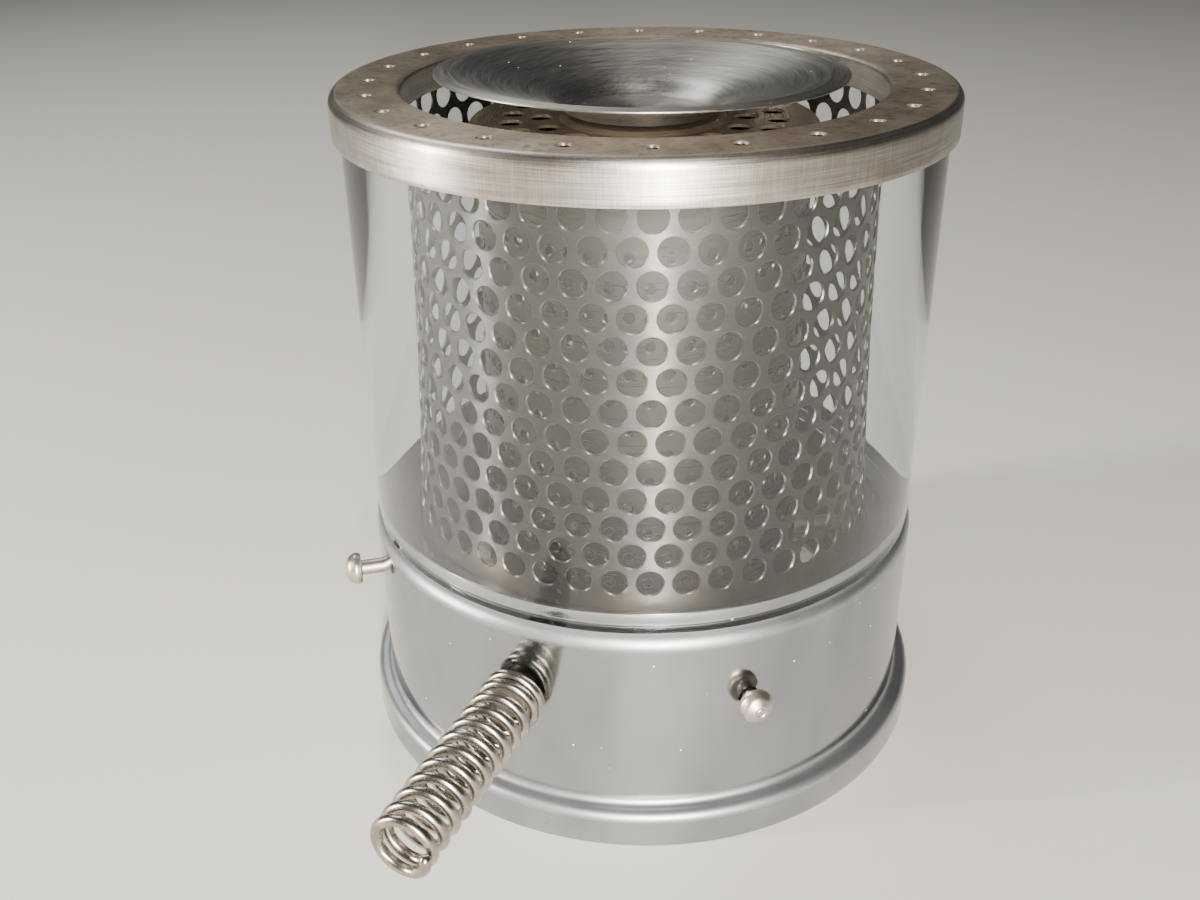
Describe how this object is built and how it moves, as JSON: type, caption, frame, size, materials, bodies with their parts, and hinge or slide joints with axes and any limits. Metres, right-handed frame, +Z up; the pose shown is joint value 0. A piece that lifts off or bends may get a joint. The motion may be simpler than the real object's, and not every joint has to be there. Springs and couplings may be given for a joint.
{
  "type": "alcohol spirit stove",
  "caption": "Spirit stove with a glass chimney over a perforated flame sleeve, a steel drum base, a lift-off top ring, a flame-spreader dish, cross pins and a coil-spring handle.",
  "frame": {"origin": "centre of the fuel cup's flat underside, on the stove's axis and level with the bottom edge of the drum", "axes": "+Z up along the stove's axis, -Y towards the front, +X to the right seen from the front; the handle points to the front left"},
  "size_m": [0.1815, 0.2258, 0.1976],
  "materials": {
    "drum_steel": "satin",
    "brushed_steel": "brushed",
    "tube_steel": "dull",
    "ring_steel": "heat stained",
    "nickel": "satin nickel plate",
    "chimney_glass": "clear",
    "cup_steel": "plain",
    "wick_fibre": "woven"
  },
  "bodies": {
    "fuel_unit": {"fuel_cup": "cup_steel", "wick_channel": "cup_steel", "wick_ring": "wick_fibre"},
    "housing": {"drum": "drum_steel", "glass_locating_ring": "drum_steel", "outer_flame_sleeve": "brushed_steel", "inner_flame_tube": "tube_steel", "tube_cap": "tube_steel", "handle_stud": "nickel", "handle_washer": "nickel", "handle_nut": "nickel"},
    "glass": {"glass_chimney": "chimney_glass"},
    "lid": {"top_ring": "ring_steel"},
    "spreader": {"spreader_dish": "brushed_steel", "dish_stud": "nickel", "dish_washer": "nickel", "dish_nut": "nickel"},
    "pin_right": {"cross_pin_right": "nickel", "pin_washer_right": "nickel"},
    "pin_left": {"cross_pin_left": "nickel", "pin_washer_left": "nickel"},
    "clip_right": {"pin_clip_right": "nickel"},
    "clip_left": {"pin_clip_left": "nickel"},
    "handle": {"handle_spring": "nickel"}
  },
  "joints": [
    {"name": "housing_lift", "type": "slide", "parent": "fuel_unit", "child": "housing", "axis": [0, 0, 1], "range_m": [0, 0.06]},
    {"name": "glass_lift", "type": "slide", "parent": "housing", "child": "glass", "axis": [0, 0, 1], "range_m": [0, 0.135]},
    {"name": "lid_lift", "type": "slide", "parent": "glass", "child": "lid", "axis": [0, 0, 1], "range_m": [0, 0.03]},
    {"name": "dish_turn", "type": "hinge", "parent": "housing", "child": "spreader", "pos_m": [0, 0, 0.186], "axis": [0, 0, 1], "continuous": true},
    {"name": "pin_right_float", "type": "slide", "parent": "housing", "child": "pin_right", "axis": [0.3502, -0.9367, 0], "range_m": [-0.0029, 0.0034]},
    {"name": "pin_left_float", "type": "slide", "parent": "housing", "child": "pin_left", "axis": [-0.9636, -0.2672, 0], "range_m": [-0.0063, 0]},
    {"name": "clip_right_pull", "type": "slide", "parent": "pin_right", "child": "clip_right", "axis": [0, 0, 1], "range_m": [0, 0.016]},
    {"name": "clip_left_pull", "type": "slide", "parent": "pin_left", "child": "clip_left", "axis": [0, 0, 1], "range_m": [0, 0.016]},
    {"name": "handle_flex", "type": "hinge", "parent": "housing", "child": "handle", "pos_m": [-0.03358, -0.07722, 0.046], "axis": [-0.9171, 0.3987, 0], "range_deg": [-5, 5], "stiffness_Nm_per_rad": 2}
  ]
}
